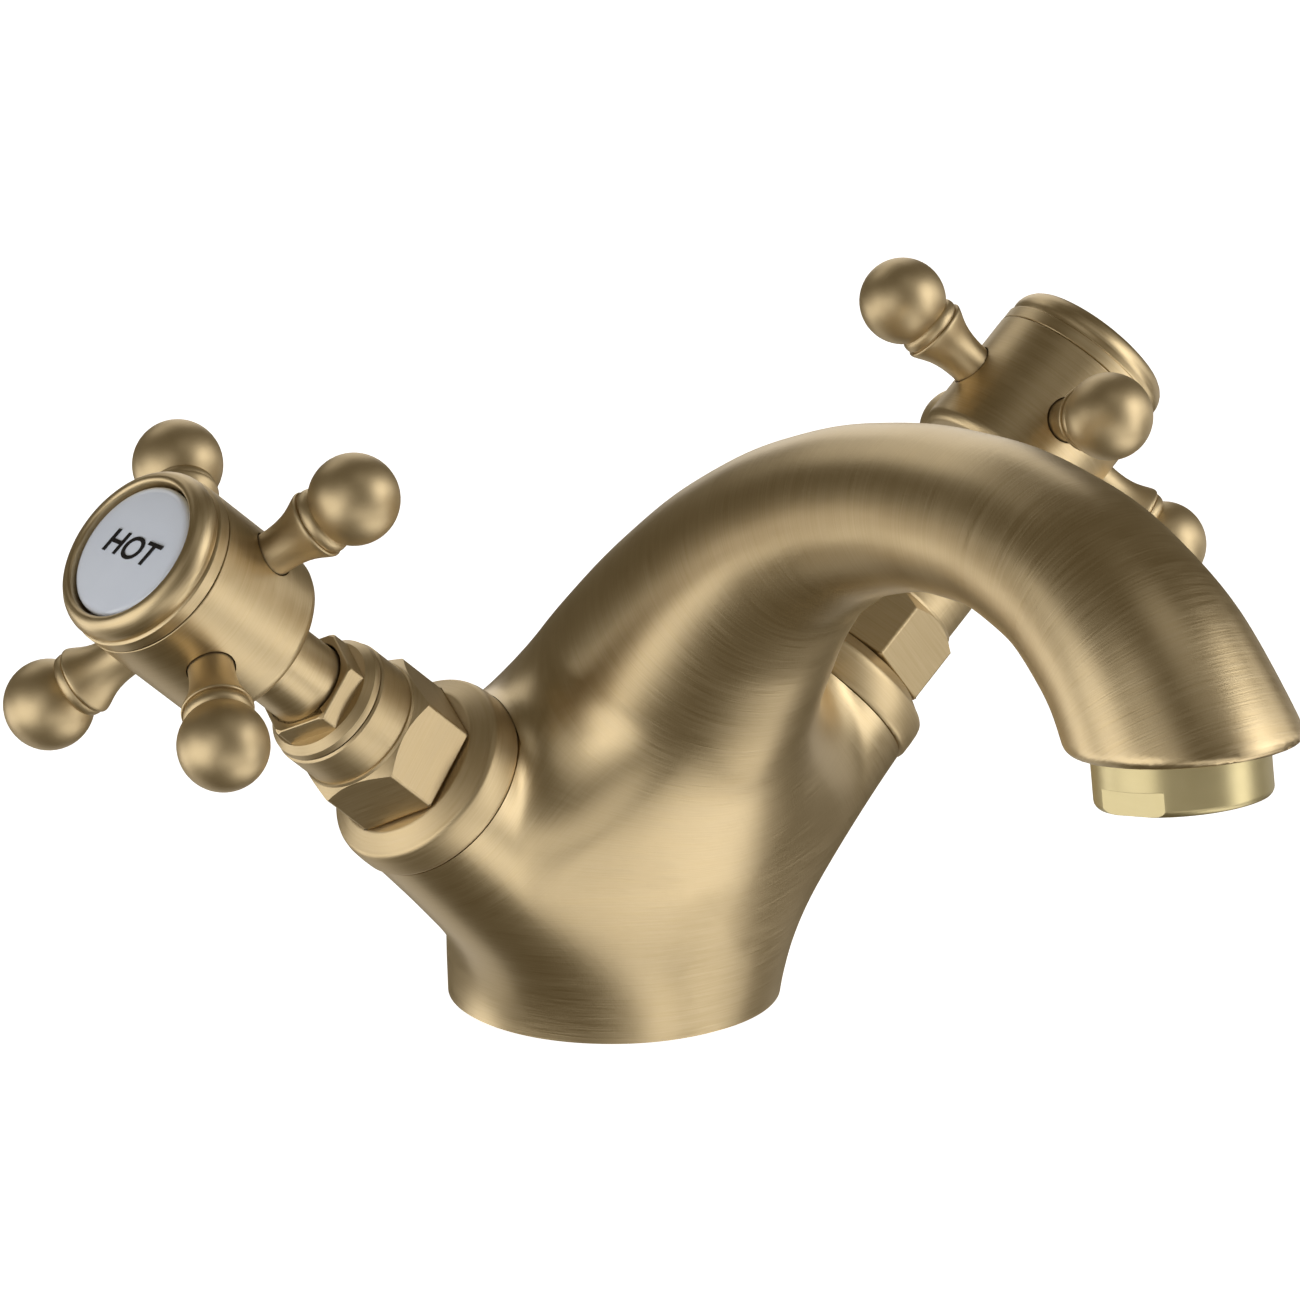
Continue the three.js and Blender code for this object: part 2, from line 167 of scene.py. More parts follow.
def modify(piece, kind, **settings):
    """Adds a modifier and applies it."""
    only(piece)
    made = piece.modifiers.new(kind.lower(), kind)
    for name, value in settings.items():
        setattr(made, name, value)
    bpy.ops.object.modifier_apply(modifier=made.name)
    return piece


def shape_by(piece, operation, *tools):
    """Joins, cuts or crosses a piece with tools, which are used up."""
    for tool in tools:
        modify(piece, "BOOLEAN", operation=operation, solver="MANIFOLD", object=tool)
        bpy.data.objects.remove(tool)
    return piece


def even_curve(stations, blur):
    """Rows of evenly spaced points on a curve that runs through the stations without any ripple."""
    knots = np.array(stations, dtype=float)
    reach = np.concatenate([[0], np.cumsum(np.hypot(*np.diff(knots[:, :2], axis=0).T))])
    travelled = np.arange(0, reach[-1], LINE_STEP)
    rows = np.stack([np.interp(travelled, reach, knots[:, column]) for column in range(3)], 1)
    offsets = np.arange(-3 * blur, 3 * blur + LINE_STEP, LINE_STEP)
    weights = np.exp(-offsets ** 2 / (2 * blur ** 2))
    weights /= weights.sum()
    half = len(offsets) // 2

    def rounded(table):
        ahead = table[0] + (table[0] - table[1]) * np.arange(half, 0, -1)[:, None]
        behind = table[-1] + (table[-1] - table[-2]) * np.arange(1, half + 1)[:, None]
        held = np.concatenate([ahead, table, behind])
        return np.stack([np.convolve(held[:, column], weights, "valid") for column in range(3)], 1)

    once = rounded(rows)
    twice = once + rounded(rows - once)
    return twice + rounded(rows - twice)


spout_line = even_curve(spout_stations, 5.5)
spout_slope = np.gradient(spout_line, axis=0)
arm_line = even_curve([(distance, 0, radius) for radius, distance in arm_profile], 4.0)


def to_spout(points):
    """Distance to the spout's skin, the way outwards, and how far along the spout each point is."""
    stride = 12
    nearest = np.full(len(points), np.inf)
    index = np.zeros(len(points))
    for number, (y, z, radius) in enumerate(spout_line[::stride]):
        gap = (points[:, 1] - y) ** 2 + (points[:, 2] - z) ** 2
        gap = np.sqrt(gap + points[:, 0] ** 2) - radius
        closer = gap < nearest
        nearest[closer] = gap[closer]
        index[closer] = number * stride
    rows = np.arange(len(spout_line))
    for stroke in range(8):
        middle_y, middle_z = (np.interp(index, rows, spout_line[:, column]) for column in range(2))
        slope_y, slope_z = (np.interp(index, rows, spout_slope[:, column]) for column in range(2))
        ahead = (points[:, 1] - middle_y) * slope_y + (points[:, 2] - middle_z) * slope_z
        index = np.clip(index + 0.8 * ahead / (slope_y ** 2 + slope_z ** 2), 0, rows[-1])
    middle_y, middle_z, radius = (np.interp(index, rows, spout_line[:, column]) for column in range(3))
    away = np.stack([points[:, 0], points[:, 1] - middle_y, points[:, 2] - middle_z], 1)
    length = np.maximum(np.linalg.norm(away, axis=1), 1e-6)
    return length - radius, away / length[:, None], index * LINE_STEP


def to_arm(points, side):
    """The same facts about one arm."""
    lean = math.radians(ARM_LEAN)
    axis = np.array([side * math.sin(lean), 0, math.cos(lean)])
    offset = points - ARM_START
    along = offset @ axis
    held = np.maximum(along, arm_line[0, 0])
    spoke = offset - held[:, None] * axis
    away = np.linalg.norm(spoke, axis=1)
    gap = away - np.interp(held, arm_line[:, 0], arm_line[:, 2])
    return gap, spoke / np.maximum(away, 1e-6)[:, None], along


def fuse(first, way_first, second, way_second, width):
    """Runs two skins into one with a hollow of the same width at any crossing angle."""
    crossing = np.clip((1 - (way_first * way_second).sum(1)) / 2, 0, 1)
    width = np.maximum(width * np.sqrt(2 * crossing), 0.01)
    share = np.clip(0.5 + 0.5 * (second - first) / width, 0, 1)
    gap = second + (first - second) * share - width * share * (1 - share)
    way = way_second + (way_first - way_second) * share[:, None]
    return gap, way / np.maximum(np.linalg.norm(way, axis=1), 1e-6)[:, None], 1 - share


def ease(share):
    """Runs from 0 to 1 with level ends."""
    share = np.clip(share, 0, 1)
    return share * share * (3 - 2 * share)


def to_body(points):
    """Distance to the casting's skin, the way outwards, and the facts that place the brushing."""
    gap, way, along = to_spout(points)
    arm_share = np.zeros(len(points))
    arm_along = np.zeros(len(points))
    width = 9 + 14 * ease((points[:, 2] - 6) / 30)          # hollows widen from the base upwards
    for side in (-1, 1):
        arm, way_arm, distance = to_arm(points, side)
        narrowing = 0.3 + 0.7 * ease((51 - distance) / 20)  # and narrow towards the arm's end
        gap, way, share = fuse(gap, way, arm, way_arm, width * narrowing)
        arm_share = np.maximum(arm_share, share)
        arm_along = np.where(points[:, 0] * side > 0, distance, arm_along)
    lean = math.radians(MOUTH_LEAN)
    down = np.array([0, -math.sin(lean), -math.cos(lean)])
    below = (points - MOUTH) @ down
    below = np.where(points[:, 1] < -95, below, -50)        # only the spout's tip reaches the mouth
    share = np.clip(0.5 + 0.5 * (gap - below) / MOUTH_ROUND, 0, 1)
    way = down + (way - down) * share[:, None]
    way = way / np.linalg.norm(way, axis=1)[:, None]
    gap = below + (gap - below) * share + MOUTH_ROUND * share * (1 - share)
    return gap, way, along, arm_share, arm_along


body = bent_bar("mixer_body", [tuple(station) for station in spout_line[::30]], 48)
for side in (-1, 1):
    arm = turn("arm", [(0, 5), *arm_profile, (0, 52)], 48)
    shape_by(body, "UNION", settle_place(arm, arm_place(side)))
bpy.ops.object.select_all(action="DESELECT")
bpy.ops.mesh.primitive_cube_add(size=0.1, location=(0, 0, -0.05))
mouth_cut = bpy.context.object
shape_by(body, "DIFFERENCE", settle_place(mouth_cut, outlet_place()))


def skin_of(piece):
    """A piece's points, in millimetres."""
    flat = np.empty(len(piece.data.vertices) * 3)
    piece.data.vertices.foreach_get("co", flat)
    return flat.reshape(-1, 3) / MM


def settle_skin(piece, strokes):
    """Moves a piece's points onto the casting's smooth skin."""
    points = skin_of(piece)
    for stroke in range(strokes):
        gap, way, *_ = to_body(points)
        points = points - way * gap[:, None]
    piece.data.vertices.foreach_set("co", (points * MM).ravel())
    piece.data.update()


for voxel in (2.0, 1.4, 0.72):
    modify(body, "REMESH", mode="VOXEL", voxel_size=voxel * MM, adaptivity=0)
    modify(body, "SMOOTH", factor=0.5, iterations=4)
    settle_skin(body, 4)
modify(body, "SMOOTH", factor=0.5, iterations=5)
settle_skin(body, 4)

# The deck side is cut flat, the arms are faced, and the ways for the water are bored.
only(body)
bpy.ops.object.mode_set(mode="EDIT")
bpy.ops.mesh.select_all(action="SELECT")
bpy.ops.mesh.bisect(
    plane_co=(0, 0, 0), plane_no=(0, 0, -1), use_fill=True, clear_outer=True, threshold=0.001 * MM)
bpy.ops.object.mode_set(mode="OBJECT")
for side in (-1, 1):
    place = arm_place(side)
    face = rod("face_cutter", 15.1, ARM_END, ARM_END + 30, 128)
    chamber = rod("chamber_bore", CHAMBER_RADIUS, SEAT, ARM_END + 1)
    port = rod("port_drill", PORT_RADIUS, PORT_START, SEAT + 1, 24)
    for tool in (face, chamber, port):
        shape_by(body, "DIFFERENCE", settle_place(tool, place))
    bend = place @ Vector((0, 0, PORT_START * MM))
    inlet = rod("inlet_drill", INLET_RADIUS, -1, bend.z / MM + 1.5, 32)
    shape_by(body, "DIFFERENCE", settle_place(inlet, Matrix.Translation((bend.x, bend.y, 0))))
    start = place @ Vector((0, 0, (SEAT + 9) * MM))
    run = Vector((0, -9 * MM, 43 * MM)) - start
    crossing = rod("crossing_drill", 3.5, 0, run.length / MM, 24)
    aim = Matrix.Translation(start) @ run.to_track_quat("Z", "Y").to_matrix().to_4x4()
    shape_by(body, "DIFFERENCE", settle_place(crossing, aim))
shape_by(body, "DIFFERENCE", bent_bar("waterway_core", waterway_stations, 32))
shape_by(body, "DIFFERENCE", settle_place(rod("socket_bore", 12.3, -1, 5.1, 96), outlet_place()))
stud_hole = rod("stud_drill", STUD_RADIUS, -1, 14, 32)
shape_by(body, "DIFFERENCE", settle_place(stud_hole, Matrix.Translation((0, STUD_BACK * MM, 0))))
groove = turn("groove_cutter", [(19.2, -1), (22.2, -1), (22.2, 2), (19.2, 2), (19.2, -1)])
shape_by(body, "DIFFERENCE", groove)

gap, way, along, arm_share, arm_along = to_body(skin_of(body))
arm_share = arm_share * np.clip((arm_along - 26) / 12, 0, 1)
brushing = body.data.attributes.new("brushing", "FLOAT_VECTOR", "POINT")
brushing.data.foreach_set("vector", np.stack([along * MM, arm_along * MM, arm_share], 1).ravel())


def smooth(piece, angle=32):
    """Smooth shading, kept sharp at edges over the angle."""
    only(piece)
    bpy.ops.object.shade_smooth_by_angle(angle=math.radians(angle))
    return piece


smooth(body, 55)
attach(body, "body")
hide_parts("body_casting")


class Wire:
    """A node's output socket; sums written with it add Math nodes to its material."""

    def __init__(self, tree, socket):
        self.tree = tree
        self.socket = socket

    def node(self, kind, settings=None, values=None, output=0):
        """Adds any other node: its settings first, then the values or wires of its inputs."""
        made = self.tree.nodes.new(kind)
        for name, value in (settings or {}).items():
            if name == "stops":
                ramp = made.color_ramp.elements
                while len(ramp) < len(value):
                    ramp.new(0.5)
                for stop, (place, shade) in zip(ramp, value):
                    stop.position = place
                    stop.color = shade
            else:
                setattr(made, name, value)
        for name, value in (values or {}).items():
            if isinstance(value, Wire):
                self.tree.links.new(value.socket, made.inputs[name])
            else:
                made.inputs[name].default_value = value
        return Wire(self.tree, made.outputs[output])

    def sibling(self, output):
        """Another output of the same node."""
        return Wire(self.tree, self.socket.node.outputs[output])

    def sum_of(self, operation, first, second):
        return self.node("ShaderNodeMath", {"operation": operation}, {0: first, 1: second})

    def __add__(self, other):
        return self.sum_of("ADD", self, other)

    def __radd__(self, other):
        return self.sum_of("ADD", other, self)

    def __sub__(self, other):
        return self.sum_of("SUBTRACT", self, other)

    def __rsub__(self, other):
        return self.sum_of("SUBTRACT", other, self)

    def __mul__(self, other):
        return self.sum_of("MULTIPLY", self, other)

    def __rmul__(self, other):
        return self.sum_of("MULTIPLY", other, self)


def new_finish(name):
    """An empty material, its shader, and the wire of its Object coordinates."""
    material = bpy.data.materials.new(name)
    material.use_nodes = True
    tree = material.node_tree
    shader = tree.nodes["Principled BSDF"]
    coordinates = tree.nodes.new("ShaderNodeTexCoord")
    return material, shader, Wire(tree, coordinates.outputs["Object"])


def feed(shader, name, value):
    """Sets or wires one of the shader's sockets."""
    if isinstance(value, Wire):
        value.tree.links.new(value.socket, shader.inputs[name])
    else:
        shader.inputs[name].default_value = value


def noise(wire, vector, scale, detail):
    """Even noise between 0 and 1."""
    return wire.node("ShaderNodeTexNoise", None, {"Vector": vector, "Scale": scale, "Detail": detail})


def stretched(wire, vector, scale):
    """The vector with each of its axes scaled."""
    return wire.node("ShaderNodeVectorMath", {"operation": "MULTIPLY"}, {0: vector, 1: scale})


def blend_colours(wire, share, first, second):
    """Mixes two colours; the share of the second is a number or a wire."""
    values = {0: share, 6: first, 7: second}
    return wire.node("ShaderNodeMix", {"data_type": "RGBA"}, values, 2)


def emboss(shader, height, depth, strength=1.0):
    """Raises a height over the surface, up to a depth in millimetres."""
    values = {"Strength": strength, "Distance": depth * MM, "Height": height}
    feed(shader, "Normal", height.node("ShaderNodeBump", None, values))


def dress(piece, material):
    """Gives a piece its one material."""
    piece.data.materials.clear()
    piece.data.materials.append(material)


SATIN_BRASS = (0.622, 0.5, 0.308, 1)
SATIN_BRASS_WARM = (0.553, 0.43, 0.246, 1)


def brush(shader, place, lines, streaks, rough, depth):
    """Satin brass: fine brushed lines in tone, gloss and height, with faint cloudy patches in tone and gloss.
    """
    clouds = noise(place, place, 55.0, 3.0)
    tone = (lines - 0.5) * 2.0 + (streaks - 0.5) * 0.4 + (clouds - 0.5) * 0.7 + 0.5
    ramped = tone.node("ShaderNodeClamp", None, {"Value": tone})
    feed(shader, "Base Color", blend_colours(place, ramped, SATIN_BRASS_WARM, SATIN_BRASS))
    feed(shader, "Metallic", 1.0)
    feed(shader, "Roughness", (lines - 0.5) * 0.18 + (streaks - 0.5) * 0.03 + (clouds - 0.5) * 0.05 + rough)
    emboss(shader, lines * 0.9 + streaks * 0.1, depth)


def limb_field(place, slow, lift):
    """Coordinates that change slowly round a limb and fast along it, so that noise makes rings."""
    drawn = stretched(place, place, slow)
    return place.node("ShaderNodeVectorMath", {"operation": "ADD"}, {0: drawn, 1: lift})


brushed_body, shader, place = new_finish("brushed_brass_body")
facts = place.node("ShaderNodeAttribute", {"attribute_name": "brushing"}, None, 1)
spout_way = facts.node("ShaderNodeSeparateXYZ", None, {"Vector": facts})
arm_way = spout_way.sibling("Y")
arm_part = spout_way.sibling("Z")
spout_lift = place.node("ShaderNodeCombineXYZ", None, {"Z": spout_way})
arm_lift = place.node("ShaderNodeCombineXYZ", None, {"X": arm_way})
spout_field = limb_field(place, (0.035, 0.035, 0.0), spout_lift)
arm_field = limb_field(place, (0.0, 0.035, 0.035), arm_lift)
spout_lines = noise(place, spout_field, 4300.0, 2.0)
arm_lines = noise(place, arm_field, 4300.0, 2.0)
spout_streaks = noise(place, spout_field, 900.0, 1.0)
arm_streaks = noise(place, arm_field, 900.0, 1.0)
lines = spout_lines * (1 - arm_part) + arm_lines * arm_part
streaks = spout_streaks * (1 - arm_part) + arm_streaks * arm_part
brush(shader, place, lines, streaks, 0.37, 0.018)
dress(body, brushed_body)

# ---------------------------------------------------------------------------------------------
# Base gasket: a flat rubber ring pressed into the groove under the base.
# It is turned, and its edges are a little rounded.
# ---------------------------------------------------------------------------------------------


def soften(piece, width, angle=30, segments=2, shading=50):
    """Breaks the edges sharper than the angle by a small round."""
    modify(piece, "BEVEL", width=width * MM, limit_method="ANGLE", angle_limit=math.radians(angle),
           segments=segments)
    smooth(piece, shading)
    return modify(piece, "WEIGHTED_NORMAL", keep_sharp=True)


gasket = turn("deck_gasket", [(19.5, 0), (21.9, 0), (21.9, 1.7), (19.5, 1.7), (19.5, 0)])
soften(gasket, 0.2)
black_rubber, shader, place = new_finish("black_rubber")
grain = noise(place, place, 2600.0, 3.0)
feed(shader, "Base Color", blend_colours(place, grain, (0.009, 0.009, 0.009, 1), (0.024, 0.023, 0.022, 1)))
feed(shader, "Roughness", grain * 0.2 + 0.58)
emboss(shader, grain, 0.03, 0.5)
dress(gasket, black_rubber)
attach(gasket, "body")
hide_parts("base_gasket")

# ---------------------------------------------------------------------------------------------
# Aerator: a polished brass housing with two wrench flats, screwed into the mouth on a rubber
# washer, holding a moulded flow former and a punched steel screen.
# ---------------------------------------------------------------------------------------------


def dress_node(node, material):
    """Gives a piece that keeps the frame's own shape its material."""
    dress(bpy.data.objects[node], material)


housing = turn("aerator_shell", [
    (9.7, -7.4), (11.4, -7.4), (11.75, -7.28), (12.0, -7.0), (12.15, -6.7), (12.2, -6.4), (12.2, -0.3),
    (11.8, -0.3), (11.8, 3.5), (10.6, 3.5), (10.6, -6.2), (9.7, -6.2), (9.7, -7.4),
], 128)
for side in (-1, 1):
    bpy.ops.mesh.primitive_cube_add(size=1, location=(side * 13.04 * MM, 0, -6.9 * MM))
    flat_cutter = bpy.context.object
    flat_cutter.scale = (4 * MM, 30 * MM, 6 * MM)
    settle_place(flat_cutter)
    flat_cutter.data.transform(Matrix.Rotation(math.radians(12.6), 4, "Z"))
    shape_by(housing, "DIFFERENCE", flat_cutter)
soften(housing, 0.1, 20)
settle_place(housing, outlet_place())
polished_brass, shader, place = new_finish("polished_brass")
turned_lines = noise(place, stretched(place, place, (0.03, 0.03, 1.0)), 3000.0, 1.0)
wear = noise(place, place, 160.0, 3.0)
feed(shader, "Base Color", blend_colours(place, wear, (0.50, 0.42, 0.22, 1), (0.58, 0.50, 0.29, 1)))
feed(shader, "Metallic", 1.0)
feed(shader, "Roughness", turned_lines * 0.06 + wear * 0.05 + 0.33)
emboss(shader, turned_lines, 0.004, 0.6)
dress(housing, polished_brass)
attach(housing, "body")
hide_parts("aerator_housing")

white_acetal, shader, place = new_finish("white_acetal")
marks = noise(place, place, 900.0, 2.0)
feed(shader, "Base Color", blend_colours(place, marks, (0.60, 0.60, 0.57, 1), (0.70, 0.70, 0.67, 1)))
feed(shader, "Roughness", marks * 0.15 + 0.35)
emboss(shader, marks, 0.02, 0.3)
bright_steel, shader, place = new_finish("bright_steel")
scuffs = noise(place, stretched(place, place, (1.0, 0.1, 1.0)), 2200.0, 2.0)
feed(shader, "Base Color", blend_colours(place, scuffs, (0.42, 0.43, 0.44, 1), (0.56, 0.57, 0.58, 1)))
feed(shader, "Metallic", 1.0)
feed(shader, "Roughness", scuffs * 0.2 + 0.22)
dress_node("aerator_insert", white_acetal)
dress_node("aerator_screen", bright_steel)
dress_node("aerator_washer", black_rubber)

# ---------------------------------------------------------------------------------------------
# Valves, still parts: in each arm a rubber seat, a ceramic disc and its brass cartridge; on the arm's
# face a turned ring, then the bonnet with its big hexagon, and a small gland nut at its neck.
# Each is turned upright once, then set on both arms.
# ---------------------------------------------------------------------------------------------

ARMS = {"hot": -1, "cold": 1}
SPOKE_DEGREES = {"hot": 51.9, "cold": 67.3}
SPOKE_HEIGHT = 99.87


def brushed_brass(name, side, rough, depth):
    """Satin brass brushed round the axis of one arm."""
    material, shader, place = new_finish(name)
    turned = (0, side * math.radians(ARM_LEAN), 0)
    upright = place.node("ShaderNodeMapping", {"vector_type": "TEXTURE"}, {
        "Vector": place, "Location": Vector(ARM_START) * MM, "Rotation": turned})
    rings = stretched(place, upright, (0.03, 0.03, 1.0))
    brush(shader, place, noise(place, rings, 4200.0, 2.0), noise(place, rings, 900.0, 1.0), rough, depth)
    return material


turned_brass = {prefix: brushed_brass("turned_brass_" + prefix, side, 0.41, 0.013)
                for prefix, side in ARMS.items()}
valve_brass = {prefix: brushed_brass("valve_brass_" + prefix, side, 0.46, 0.01)
               for prefix, side in ARMS.items()}

plain_brass, shader, place = new_finish("plain_brass")
patches = noise(place, place, 300.0, 3.0)
feed(shader, "Base Color", blend_colours(place, patches, (0.46, 0.32, 0.12, 1), (0.56, 0.41, 0.18, 1)))
feed(shader, "Metallic", 1.0)
feed(shader, "Roughness", patches * 0.15 + 0.36)
white_alumina, shader, place = new_finish("white_alumina")
specks = noise(place, place, 1800.0, 2.0)
feed(shader, "Base Color", blend_colours(place, specks, (0.70, 0.68, 0.62, 1), (0.78, 0.76, 0.71, 1)))
feed(shader, "Roughness", specks * 0.1 + 0.22)


def copied(pattern, name):
    """A copy of a piece with a mesh of its own."""
    piece = pattern.copy()
    piece.data = pattern.data.copy()
    piece.name = name
    bpy.context.collection.objects.link(piece)
    return piece


def set_on_arms(pattern, node, body_name, material, turned_by=None):
    """Copies an upright piece onto both arms in place of its nodes, and uses the pattern up."""
    for prefix, side in ARMS.items():
        piece = copied(pattern, f"{prefix}_{pattern.name}")
        if turned_by is not None:
            piece.data.transform(Matrix.Rotation(math.radians(turned_by[prefix]), 4, "Z"))
        piece.data.transform(arm_place(side))
        dress(piece, material[prefix] if isinstance(material, dict) else material)
        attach(piece, body_name[prefix] if isinstance(body_name, dict) else body_name)
        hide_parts(f"{prefix}_{node}")
    bpy.data.objects.remove(pattern)


def hexagon(name, corner, low, high, degrees, width, foot=0):
    """A six-sided bar with its long edges a little rounded and its foot chamfered."""
    bpy.ops.object.select_all(action="DESELECT")
    bpy.ops.mesh.primitive_cylinder_add(
        vertices=6, radius=corner * MM, depth=(high - low) * MM, location=(0, 0, (low + high) / 2 * MM),
        rotation=(0, 0, math.radians(degrees - 90)))
    piece = settle_place(bpy.context.object)
    piece.name = name
    bpy.ops.object.mode_set(mode="EDIT")
    bpy.ops.mesh.select_all(action="DESELECT")
    bpy.ops.object.mode_set(mode="OBJECT")
    for edge in piece.data.edges:
        first, second = (piece.data.vertices[index].co for index in edge.vertices)
        edge.select = abs(first.z - second.z) > 0.5 * MM
    bpy.ops.object.mode_set(mode="EDIT")
    bpy.ops.mesh.bevel(offset=width * MM, segments=3)
    bpy.ops.mesh.select_all(action="DESELECT")
    bpy.ops.object.mode_set(mode="OBJECT")
    for edge in piece.data.edges:
        edge.select = all(piece.data.vertices[index].co.z < (low + 0.1) * MM for index in edge.vertices)
    bpy.ops.object.mode_set(mode="EDIT")
    if foot:
        bpy.ops.mesh.bevel(offset=foot * MM, segments=1)
    bpy.ops.object.mode_set(mode="OBJECT")
    return piece


for prefix in ARMS:
    dress_node(f"{prefix}_seat_seal", black_rubber)
    dress_node(f"{prefix}_bonnet_o_ring", black_rubber)
    dress_node(f"{prefix}_fixed_disc", white_alumina)
    dress_node(f"{prefix}_cartridge_body", plain_brass)

flange = turn("flange_collar", [
    (9.8, 46.3), (14.5, 46.3), (14.85, 46.6), (15.0, 47.2), (15.0, 48.8), (14.9, 50.4), (14.7, 51.3),
    (14.35, 51.75), (13.8, 52.05), (12.0, 53.3), (11.6, 53.6), (9.8, 53.75), (9.8, 46.3),
], 128)
soften(flange, 0.25, 22, 3)
set_on_arms(flange, "flange_ring", "body", valve_brass)

bonnet = hexagon("valve_bonnet", 11.8, 53.9, 65.2, 6.5, 0.35, 0.4)
chamfer = turn("chamfer", [
    (0, 53.8), (11.5, 53.8), (11.9, 54.5), (11.9, 62.9), (11.4, 63.3), (10.8, 63.85), (10.2, 64.45),
    (10.08, 64.9), (9.5, 65.0), (0, 65.0),
], 128)
shape_by(bonnet, "INTERSECT", chamfer)
barrel = turn("barrel", [
    (0, 40.5), (9.2, 40.5), (9.2, 43.8), (7.5, 43.8), (7.5, 46), (9.2, 46), (9.2, 60), (9.8, 60),
    (9.8, 70.9), (9.5, 71.2), (7, 71.2), (7, 72.8), (0, 72.8),
], 128)
shape_by(bonnet, "UNION", barrel)
shape_by(bonnet, "DIFFERENCE", rod("stem_bore", 4.5, 39, 75))
soften(bonnet, 0.16, 24, 3, 24)
set_on_arms(bonnet, "bonnet", "body", valve_brass)

gland = hexagon("gland_hexagon", 8.3, 73, 76.7, 4.5, 0.3)
shape_by(gland, "INTERSECT", turn("chamfer", [(0, 72), (8.6, 72), (8.6, 76), (7.6, 76.8), (0, 76.8)], 128))
shape_by(gland, "UNION", turn("shoulder", [(0, 71.5), (9.6, 71.5), (9.4, 72.4), (8.4, 73.5), (0, 73.5)], 128))
shape_by(gland, "DIFFERENCE", turn("gland_bore", [
    (0, 71), (7.3, 71), (7.3, 73.1), (6.55, 73.1), (6.55, 77), (0, 77)], 96))
soften(gland, 0.12, 24, 3, 24)
set_on_arms(gland, "gland_nut", "body", valve_brass)

# ---------------------------------------------------------------------------------------------
# Valves, turning parts inside: the moving ceramic disc, the splined brass spindle with its rubber
# ring and steel clip, the screw and the plastic insert that carry the handle.
# They keep the frame's own shapes.
# ---------------------------------------------------------------------------------------------

for prefix in ARMS:
    dress_node(f"{prefix}_moving_disc", white_alumina)
    dress_node(f"{prefix}_spindle", plain_brass)
    dress_node(f"{prefix}_spindle_o_ring", black_rubber)
    dress_node(f"{prefix}_retaining_clip", bright_steel)
    dress_node(f"{prefix}_spline_insert", white_acetal)
    dress_node(f"{prefix}_handle_screw", bright_steel)

# ---------------------------------------------------------------------------------------------
# Handles: a brass sleeve over the spindle, a turned hub with four turned spokes pressed into its
# side, each with a trumpet lip, a bead and a ball, and a bezel ring on top.
# ---------------------------------------------------------------------------------------------

handle_bodies = {prefix: f"{prefix}_handle" for prefix in ARMS}

sleeve = turn("spindle_sleeve", [(4.6, 75.3), (6.2, 75.3), (6.2, 92.6), (4.6, 92.6), (4.6, 75.3)])
soften(sleeve, 0.15)
set_on_arms(sleeve, "handle_sleeve", handle_bodies, turned_brass)

hub = turn("handle_drum", [
    (6.5, 89.8), (12.0, 89.8), (12.55, 90.0), (13.0, 90.45), (13.28, 91.0), (13.4, 91.6), (13.4, 109.4),
    (13.3, 109.5), (11, 109.5), (11, 105.2), (6.5, 105.2), (6.5, 89.8),
], 160)
for index in range(4):
    socket = turn("spoke_socket", [(0, 9), (2.3, 9), (2.3, 10.6), (3.5, 10.6), (3.5, 15), (0, 15)], 64)
    aim = Matrix.Translation((0, 0, SPOKE_HEIGHT * MM)) @ Matrix.Rotation(index * math.pi / 2, 4, "Z")
    shape_by(hub, "DIFFERENCE", settle_place(socket, aim @ Matrix.Rotation(math.pi / 2, 4, "Y")))
soften(hub, 0.1, 35)
set_on_arms(hub, "handle_hub", handle_bodies, turned_brass, SPOKE_DEGREES)

ball_start = math.degrees(math.asin(4.5 / 6.5))
ball_steps = [ball_start + (180 - ball_start) * step / 22 for step in range(23)]
ball = [(6.5 * math.sin(math.radians(angle)), 27.87 - 6.5 * math.cos(math.radians(angle)))
        for angle in ball_steps]
spoke_pattern = turn("handle_spoke", [
    (0, 9.4), (1.9, 9.4), (2, 9.5), (2, 10.9), (3.28, 10.9), (3.28, 14.4), (3.34, 15.4), (3.46, 16.4),
    (3.66, 17.4), (3.96, 18.4), (4.34, 19.3), (4.74, 20.1), (5.02, 20.7), (5.14, 21.05), (5.14, 21.25),
    (5.04, 21.38), (4.66, 21.42), (4.66, 21.58), (4.84, 21.68), (4.92, 21.95), (4.92, 22.35),
    (4.84, 22.75), (4.68, 23.0), *ball,
], 72)
smooth(spoke_pattern, 40)

sandy_brass, shader, place = new_finish("sandy_brass")
grit = noise(place, place, 5200.0, 2.0)
clouds = noise(place, place, 90.0, 3.0)
feed(shader, "Base Color", blend_colours(place, (clouds - 0.5) * 0.7 + (grit - 0.5) * 0.5 + 0.5,
                                         SATIN_BRASS_WARM, SATIN_BRASS))
feed(shader, "Metallic", 1.0)
feed(shader, "Roughness", (grit - 0.5) * 0.08 + (clouds - 0.5) * 0.06 + 0.47)
emboss(shader, grit, 0.01, 0.8)

for prefix, side in ARMS.items():
    for index in range(4):
        spoke = copied(spoke_pattern, f"{prefix}_ball_spoke_{index + 1}")
        facing = math.radians(SPOKE_DEGREES[prefix]) + index * math.pi / 2
        aim = Matrix.Translation((0, 0, SPOKE_HEIGHT * MM)) @ Matrix.Rotation(facing, 4, "Z")
        spoke.data.transform(arm_place(side) @ aim @ Matrix.Rotation(math.pi / 2, 4, "Y"))
        dress(spoke, sandy_brass)
        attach(spoke, handle_bodies[prefix])
        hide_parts(f"{prefix}_spoke_{index + 1}")
bpy.data.objects.remove(spoke_pattern)

